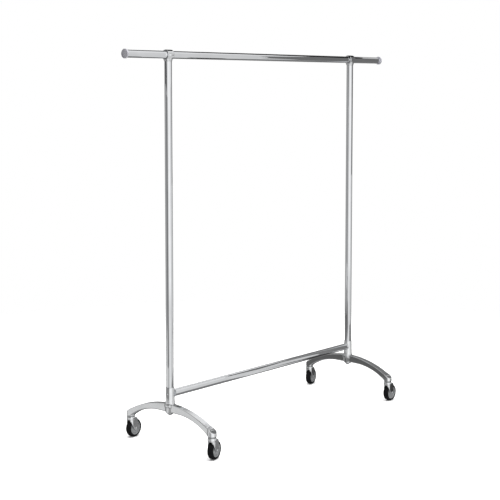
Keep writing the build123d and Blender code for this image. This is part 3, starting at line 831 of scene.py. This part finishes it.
def plastic(name, slot, low, high, rough, grain, depth, shine=0.5, plated=0.0):
    """Moulded plastic or rubber: fine texture, patchy dust and uneven sheen."""
    material, tree, shader, where = nodes_of(name)
    shader.inputs["Specular IOR Level"].default_value = shine
    shader.inputs["Metallic"].default_value = plated
    fine = noise(tree, where, grain, 5, 0.65)
    patch = noise(tree, where, 38, 5, 0.6)
    colour = tint(tree, add(tree, patch, fine, 0.3), [(0.45, low), (0.9, high)])
    tree.links.new(colour, shader.inputs["Base Color"])
    value = add(tree, span(tree, patch, rough[0], rough[1]), fine, 0.06)
    tree.links.new(value, shader.inputs["Roughness"])
    bump(tree, shader, fine, 0.4, depth)
    return {"material": material, "slot": slot}


tube_chrome = metal(
    "tube_chrome",
    "chrome_tube",
    low=(0.74, 0.75, 0.765),
    high=(0.79, 0.80, 0.815),
    rough=(0.02, 0.04, 0.01),
    grain=420,
    wave=9,
    wave_depth=0.000004,
)
cast_chrome = metal(
    "cast_chrome",
    "chrome_cast",
    low=(0.70, 0.71, 0.72),
    high=(0.78, 0.79, 0.80),
    rough=(0.05, 0.10, 0.03),
    grain=380,
    wave=45,
    wave_depth=0.00003,
)
bright_steel = metal(
    "bright_steel",
    "steel_hardware",
    low=(0.50, 0.51, 0.52),
    high=(0.62, 0.63, 0.64),
    rough=(0.14, 0.24, 0.08),
    grain=700,
    wave=120,
    wave_depth=0.00005,
)
cap_chrome = plastic(
    "cap_chrome",
    "cap_plastic",
    low=(0.50, 0.495, 0.54),
    high=(0.60, 0.595, 0.64),
    rough=(0.22, 0.34),
    grain=500,
    depth=0.00005,
    shine=0.5,
    plated=0.55,
)
hub_grey = plastic(
    "hub_grey",
    "hub_plastic",
    low=(0.19, 0.195, 0.20),
    high=(0.28, 0.285, 0.29),
    rough=(0.34, 0.50),
    grain=900,
    depth=0.00006,
    shine=0.3,
)
tyre_black = plastic(
    "tyre_black",
    "tyre_rubber",
    low=(0.003, 0.003, 0.0035),
    high=(0.008, 0.008, 0.009),
    rough=(0.46, 0.66),
    grain=1100,
    depth=0.00010,
    shine=0.08,
)
bush_nylon = plastic(
    "bush_nylon",
    "steel_hardware",
    low=(0.52, 0.52, 0.50),
    high=(0.62, 0.62, 0.60),
    rough=(0.35, 0.5),
    grain=800,
    depth=0.00004,
)
FINISH = {f["slot"]: f for f in (tube_chrome, cast_chrome, bright_steel, cap_chrome, hub_grey, tyre_black)}

# ---- The frame's pieces ----
foot = foot_shells()
connector = connector_shells()
for side in SIDES:
    place = at_side(side)
    upright = at_side(side, False)
    sign = SIDE_SIGN[side]
    piece(f"{side}_foot", [placed(s, place) for s in foot], "frame", cast_chrome, [f"foot_casting_{side}"])
    post = placed(tube_shell(POST_LOW, POST_HIGH), upright)
    piece(f"{side}_post", [post], "frame", tube_chrome, [f"post_{side}"])
    tee = [placed(s, upright) for s in connector]
    piece(f"{side}_connector", tee, "frame", cast_chrome, [f"top_connector_{side}"])
    cap = placed(cap_shell(), move(sign * BAR_HALF, 0, BAR_Z) @ turn(90 * sign, "Y"))
    piece(f"{side}_cap", [cap], "frame", cap_chrome, [f"bar_end_cap_{side}"])

bar = placed(tube_shell(-BAR_HALF, BAR_HALF), move(z=BAR_Z) @ turn(90, "Y"))
piece("hanging_tube", [bar], "frame", tube_chrome, ["hanging_bar"])
cross = placed(tube_shell(-CROSS_HALF, CROSS_HALF), move(z=CROSS_Z) @ turn(90, "Y"))
piece("cross_tube", [cross], "frame", tube_chrome, ["lower_cross_bar"])

cross_bolts = []
foot_bolts = []
foot_washers = []
grubs = []
post_screws = []
for side in SIDES:
    place = at_side(side)
    upright = at_side(side, False)
    seat = place @ move(-CROSS_BOLT_SEAT, 0, CROSS_Z) @ turn(-90, "Y")
    cross_bolts.append(placed(dome_head(*CROSS_BOLT_HEAD), seat))
    cross_bolts.append(placed(shank(*CROSS_BOLT_SHANK), seat))
    under = place @ move(z=HUB_UNDER_Z - FOOT_WASHER_THICK)
    foot_bolts.append(placed(dome_head(*FOOT_BOLT_HEAD), under @ turn(180, "X")))
    foot_bolts.append(placed(shank(*FOOT_BOLT_SHANK), under @ turn(180, "X")))
    foot_washers.append(placed(lathe(rounded(FOOT_WASHER_OUTLINE, 4), steps=64), under))
    grub = lathe(rounded(GRUB_OUTLINE, 3), steps=36, closed=False)
    grubs.append(placed(grub, upright @ move(0, TUBE_R, BAR_Z) @ turn(-90, "X")))
    seat = upright @ move(0, TUBE_R, POST_HIGH - POST_SCREW_DROP) @ turn(-90, "X")
    post_screws.append(placed(dome_head(*POST_SCREW_HEAD), seat))
    post_screws.append(placed(shank(*POST_SCREW_SHANK), seat))
piece("cross_bar_bolt_pair", cross_bolts, "frame", bright_steel, ["cross_bar_bolts"])
piece("foot_bolt_pair", foot_bolts, "frame", bright_steel, ["post_foot_bolts"])
piece("foot_washer_pair", foot_washers, "frame", bright_steel, ["post_foot_washers"])
piece("connector_grub_pair", grubs, "frame", bright_steel, ["connector_set_screws"])
piece("post_screw_pair", post_screws, "frame", bright_steel, ["post_top_screws"])

# ---- The casters ----
fork = fork_shells()
axle_rod = lathe(rounded(AXLE_OUTLINE), steps=32, closed=False)
race = lathe(rounded(RACE_OUTLINE), steps=96, closed=False)
king_pin = lathe(rounded(KING_PIN_OUTLINE), steps=48, closed=False)
lock_washer = lathe(rounded(CASTER_WASHER_OUTLINE, 3), steps=64)
ARM_OUTER_Y = ARM_INNER_Y + ARM_THICK
lock_washers = []
for corner in CORNERS:
    place = at_corner(corner)
    axle = place @ move(TRAIL, 0, AXLE_Z) @ turn(-90, "X")
    swivel = f"swivel_{corner}"
    wheel = f"wheel_{corner}"
    piece(f"{corner}_fork", [placed(s, place) for s in fork], swivel, cast_chrome, [f"fork_{corner}"])
    head = placed(dome_head(*AXLE_HEAD), axle @ move(z=-ARM_OUTER_Y) @ turn(180, "X"))
    bolt = [head, placed(axle_rod, axle)]
    piece(f"{corner}_axle", bolt, swivel, bright_steel, [f"axle_bolt_{corner}"])
    nut = placed(hex_nut(*AXLE_NUT), axle @ move(z=ARM_OUTER_Y))
    piece(f"{corner}_nut", [nut], swivel, bright_steel, [f"axle_nut_{corner}"])
    piece(f"{corner}_tyre", [placed(tyre_shell(), axle)], wheel, tyre_black, [f"tyre_{corner}"])
    piece(f"{corner}_hub", [placed(hub_shell(), axle)], wheel, hub_grey, [f"wheel_hub_{corner}"])
    stem = [placed(race, place), placed(king_pin, place)]
    piece(f"{corner}_stem", stem, "frame", bright_steel, [f"caster_stem_{corner}"])
    lock_washers.append(placed(lock_washer, place))
piece("caster_washer_set", lock_washers, "frame", bright_steel, ["caster_lock_washers"])

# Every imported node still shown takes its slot's finish, and the wheel bushes their own.
replaced = set()
for obj in bpy.data.objects:
    replaced.update(obj.get("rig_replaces", []))
slots = {s["node"]: s["material_slot"] for s in frame["record"]["subparts"]}
for name, obj in frame["nodes"].items():
    if name in replaced:
        continue
    finish = bush_nylon if name.startswith("hub_bush") else FINISH[slots[name]]
    obj.data.materials.clear()
    obj.data.materials.append(finish["material"])

# ---- Studio: a pale floor that fades into soft white light all round; sizes in metres ----
FLOOR_RINGS = (0, 0.4, 0.8, 1.2, 1.6, 2.2, 2.8, 3.4)
FLOOR_FADE = (1.5, 3.2)
SOFTBOX_SIZE = 5.0
SOFTBOX_POWER = 330
SOFTBOX_AT = (-0.4, -0.6, 4.4)
# Brightness of the surroundings, as (compass degrees from +X towards +Y, level) stops.
WALL = (
    (0, 0.85), (20, 0.65), (40, 0.34), (62, 0.30), (82, 0.45), (107, 0.50), (150, 0.52), (172, 0.42),
    (180, 0.42), (191, 0.95), (208, 1.15), (226, 1.25), (244, 1.50), (262, 1.45), (277, 1.05),
    (295, 0.95), (318, 0.90), (349, 0.90),
)
GROUND = (
    (0, 0.12), (45, 0.06), (70, 0.12), (107, 0.48), (160, 0.50), (184, 0.36), (196, 0.80), (215, 1.10),
    (245, 1.20), (265, 0.95), (290, 0.90), (320, 0.95), (345, 0.90), (356, 0.30),
)
CEILING = ((0, 1.30), (60, 1.10), (120, 0.70), (180, 0.80), (240, 1.15), (300, 1.10), (350, 1.15))
# Where the wall gives way to the ground and to the ceiling, as the height of a direction from -1 to 1.
GROUND_FROM, GROUND_FULL = -0.24, -0.36
CEILING_FROM, CEILING_FULL = 0.42, 0.66


def ranged(tree, value, low, high):
    """A smooth step from 0 at low to 1 at high."""
    node = tree.nodes.new("ShaderNodeMapRange")
    node.interpolation_type = "SMOOTHSTEP"
    node.inputs["From Min"].default_value = low
    node.inputs["From Max"].default_value = high
    tree.links.new(value, node.inputs["Value"])
    return node


def stage_object(name, points, faces):
    """A piece of the studio, which isn't part of the rack."""
    mesh = bpy.data.meshes.new(name)
    mesh.from_pydata(points, [], faces)
    obj = bpy.data.objects.new(name, mesh)
    bpy.context.scene.collection.objects.link(obj)
    return obj


floor_points, floor_faces = lathe([(r, 0) for r in FLOOR_RINGS], steps=96, closed=False)
floor = stage_object("studio_floor", floor_points, [face[::-1] for face in floor_faces])
paper_finish, paper_tree, paper_shader, paper_where = nodes_of("studio_floor")
paper_shader.inputs["Roughness"].default_value = 0.8
paper_shader.inputs["Specular IOR Level"].default_value = 0.1
paper = noise(paper_tree, paper_where, 3.0, 3)
paper_tint = tint(paper_tree, paper, [(0.2, (0.92, 0.92, 0.92)), (0.8, (0.95, 0.95, 0.95))])
paper_tree.links.new(paper_tint, paper_shader.inputs["Base Color"])
away = paper_tree.nodes.new("ShaderNodeVectorMath")
away.operation = "LENGTH"
paper_tree.links.new(paper_where, away.inputs[0])
fade = ranged(paper_tree, away.outputs["Value"], *FLOOR_FADE)
fade.inputs["To Min"].default_value = 1.0
fade.inputs["To Max"].default_value = 0.0
paper_tree.links.new(fade.outputs["Result"], paper_shader.inputs["Alpha"])
floor.data.materials.append(paper_finish)
floor.visible_glossy = False

world = bpy.data.worlds.new("studio")
bpy.context.scene.world = world
world.use_nodes = True
sky = world.node_tree
sky.nodes.clear()
sky_out = sky.nodes.new("ShaderNodeOutputWorld")
direction = sky.nodes.new("ShaderNodeSeparateXYZ")
sky.links.new(sky.nodes.new("ShaderNodeTexCoord").outputs["Generated"], direction.inputs["Vector"])


def sky_math(operation, *values):
    """A math node in the world, fed by numbers or by other nodes."""
    node = sky.nodes.new("ShaderNodeMath")
    node.operation = operation
    for i, value in enumerate(values):
        if isinstance(value, (int, float)):
            node.inputs[i].default_value = value
        else:
            sky.links.new(value, node.inputs[i])
    return node.outputs[0]


def round_wall(way, stops):
    """Brightness by compass direction; the first stop is at 0 degrees."""
    ramp = sky.nodes.new("ShaderNodeValToRGB")
    ramp.color_ramp.interpolation = "LINEAR"
    band = ramp.color_ramp
    band.elements.remove(band.elements[1])
    for degrees, level in stops:
        element = band.elements[0] if degrees == 0 else band.elements.new(degrees / 360)
        element.color = (level, level, level, 1)
    sky.links.new(way, ramp.inputs["Fac"])
    return ramp.outputs["Color"]


def blend(share, a, b):
    """a where share is 0 and b where it is 1."""
    return sky_math("MULTIPLY_ADD", share, sky_math("SUBTRACT", b, a), a)


angle = sky_math("ARCTAN2", direction.outputs["Y"], direction.outputs["X"])
turns = sky_math("DIVIDE", angle, 2 * math.pi)
compass = sky_math("FRACT", sky_math("ADD", turns, 1.0))
height = direction.outputs["Z"]
wall = round_wall(compass, WALL)
ground = round_wall(compass, GROUND)
ceiling = round_wall(compass, CEILING)
ground_share = ranged(sky, height, GROUND_FROM, GROUND_FULL).outputs["Result"]
ceiling_share = ranged(sky, height, CEILING_FROM, CEILING_FULL).outputs["Result"]
studio = blend(ceiling_share, blend(ground_share, wall, ground), ceiling)

# The camera sees plain white; the light and the reflections come from the directions above.
seen = sky.nodes.new("ShaderNodeBackground")
seen.inputs["Color"].default_value = (1, 1, 1, 1)
seen.inputs["Strength"].default_value = 1.0
lit = sky.nodes.new("ShaderNodeBackground")
sky.links.new(studio, lit.inputs["Strength"])
choose = sky.nodes.new("ShaderNodeMixShader")
path = sky.nodes.new("ShaderNodeLightPath")
sky.links.new(path.outputs["Is Camera Ray"], choose.inputs["Fac"])
sky.links.new(lit.outputs["Background"], choose.inputs[1])
sky.links.new(seen.outputs["Background"], choose.inputs[2])
sky.links.new(choose.outputs["Shader"], sky_out.inputs["Surface"])

# One large soft light above, so that the floor is white and the shadows are faint.
softbox = bpy.data.lights.new("softbox", "AREA")
softbox.shape = "RECTANGLE"
softbox.size = SOFTBOX_SIZE
softbox.size_y = SOFTBOX_SIZE
softbox.energy = SOFTBOX_POWER
lamp = bpy.data.objects.new("softbox", softbox)
lamp.location = SOFTBOX_AT
lamp.visible_camera = False
lamp.visible_glossy = False
bpy.context.scene.collection.objects.link(lamp)

# Glowing cards around the rack, which are no lamps and are seen only in reflections: the dim ones paint
# dark reflections (painted shade) and the bright ones paint bright reflections (painted highlights) onto
# chosen chrome parts.
# Each row is a name, a brightness, a corner, the two edges from it, and how many times wider the card's
# far end is than its near end.
CARD_STEPS = 6
CARDS = (
    ("bar_flag", 0.02, (-1.00, 0.00, 1.80), (1.98, -0.06, 0), (0, 0.062, 0), 4.5),
    ("bar_end_flag_high", 0.18, (1.30, -1.15, 1.10), (0, 1.13, 0), (0, 0, 1.20), 1.0),
    ("bar_end_flag_low", 0.18, (1.30, -0.02, 1.10), (0, 0.22, 0), (0, 0, 0.70), 1.0),
    ("right_flag_low", 0.22, (1.30, -0.47, -0.30), (0, 2.9, 0), (0, 0, 1.4), 1.0),
    ("left_flag", 0.24, (-1.00, -0.13, 0.15), (0, 0.33, 0), (0, 0, 1.46), 1.0),
    ("connector_flag", 0.01, (-1.02, 0.03, 1.63), (0.18, 0.21, 0), (0, 0, 0.16), 1.0),
    ("connector_reflector", 1.30, (-0.575, -0.165, 1.60), (0.09, -0.09, 0), (0, 0, 0.15), 1.0),
    ("near_arm_reflector", 0.74, (-1.85, 0.05, -0.06), (0.95, 0, 0), (0, 1.20, 0), 1.0),
    ("far_arm_flag", 0.13, (-0.30, 0.12, -0.05), (0.70, 0, 0), (0, 1.10, 0), 1.0),
    ("near_caster_flag", 0.24, (-0.50, -0.55, -0.05), (0.60, 0, 0), (0, 0.66, 0), 1.0),
    ("far_caster_flag", 0.06, (0.72, -0.80, -0.05), (0.55, 0, 0), (0, 1.00, 0), 1.0),
)


def card(name, level, corner, across, up, flare):
    """A flat glowing panel of even brightness, from one corner along two edges, that paints a reflection
    onto the chrome.
    """
    corner, across, up = (Vector(v) for v in (corner, across, up))
    points, faces = [], []
    for i in range(CARD_STEPS + 1):
        widening = 1 + (flare - 1) * i / CARD_STEPS
        for k in range(CARD_STEPS + 1):
            points.append(corner + across * (i / CARD_STEPS) + up * (k / CARD_STEPS) * widening)
    row = CARD_STEPS + 1
    for i in range(CARD_STEPS):
        for k in range(CARD_STEPS):
            a = i * row + k
            faces.append((a, a + row, a + row + 1, a + 1))
    panel = stage_object(name, points, faces)
    material, tree, shader, where = nodes_of(name)
    shader.inputs["Base Color"].default_value = (0, 0, 0, 1)
    shader.inputs["Specular IOR Level"].default_value = 0.0
    shader.inputs["Emission Strength"].default_value = 1.0
    # Painted reflection: the card glows though it is no lamp, and only glossy rays see it, so it paints a
    # dark or bright line onto the chrome.
    painted_reflection_glow = span(tree, noise(tree, where, 6, 2), level * 0.9, level * 1.1)
    tree.links.new(painted_reflection_glow, shader.inputs["Emission Color"])
    panel.data.materials.append(material)
    for way in ("camera", "diffuse", "shadow", "transmission", "volume_scatter"):
        setattr(panel, "visible_" + way, False)


for entry in CARDS:
    card(*entry)

# ---- Camera: the photograph's place, direction and field of view ----
PICTURE_PIXELS = 500.0
FOCAL_PIXELS = 1190.2264
SENSOR_MM = 36.0
SHIFT_UP = -0.12
CAMERA_AT = (-4.123, -3.5645, 1.5411)
YAW = math.radians(48.3507)
PITCH = math.radians(4.9557)
camera_data = bpy.data.cameras.new("camera")
camera_data.sensor_width = SENSOR_MM
camera_data.lens = FOCAL_PIXELS * SENSOR_MM / PICTURE_PIXELS
camera_data.shift_y = SHIFT_UP
camera = bpy.data.objects.new("camera", camera_data)
bpy.context.scene.collection.objects.link(camera)
look = Vector((math.sin(YAW) * math.cos(PITCH), math.cos(YAW) * math.cos(PITCH), -math.sin(PITCH)))
camera.location = CAMERA_AT
camera.rotation_euler = look.to_track_quat("-Z", "Y").to_euler()
bpy.context.scene.camera = camera

scene = bpy.context.scene
scene.view_settings.view_transform = "Standard"
scene.view_settings.look = "None"
scene.view_settings.exposure = 0.0
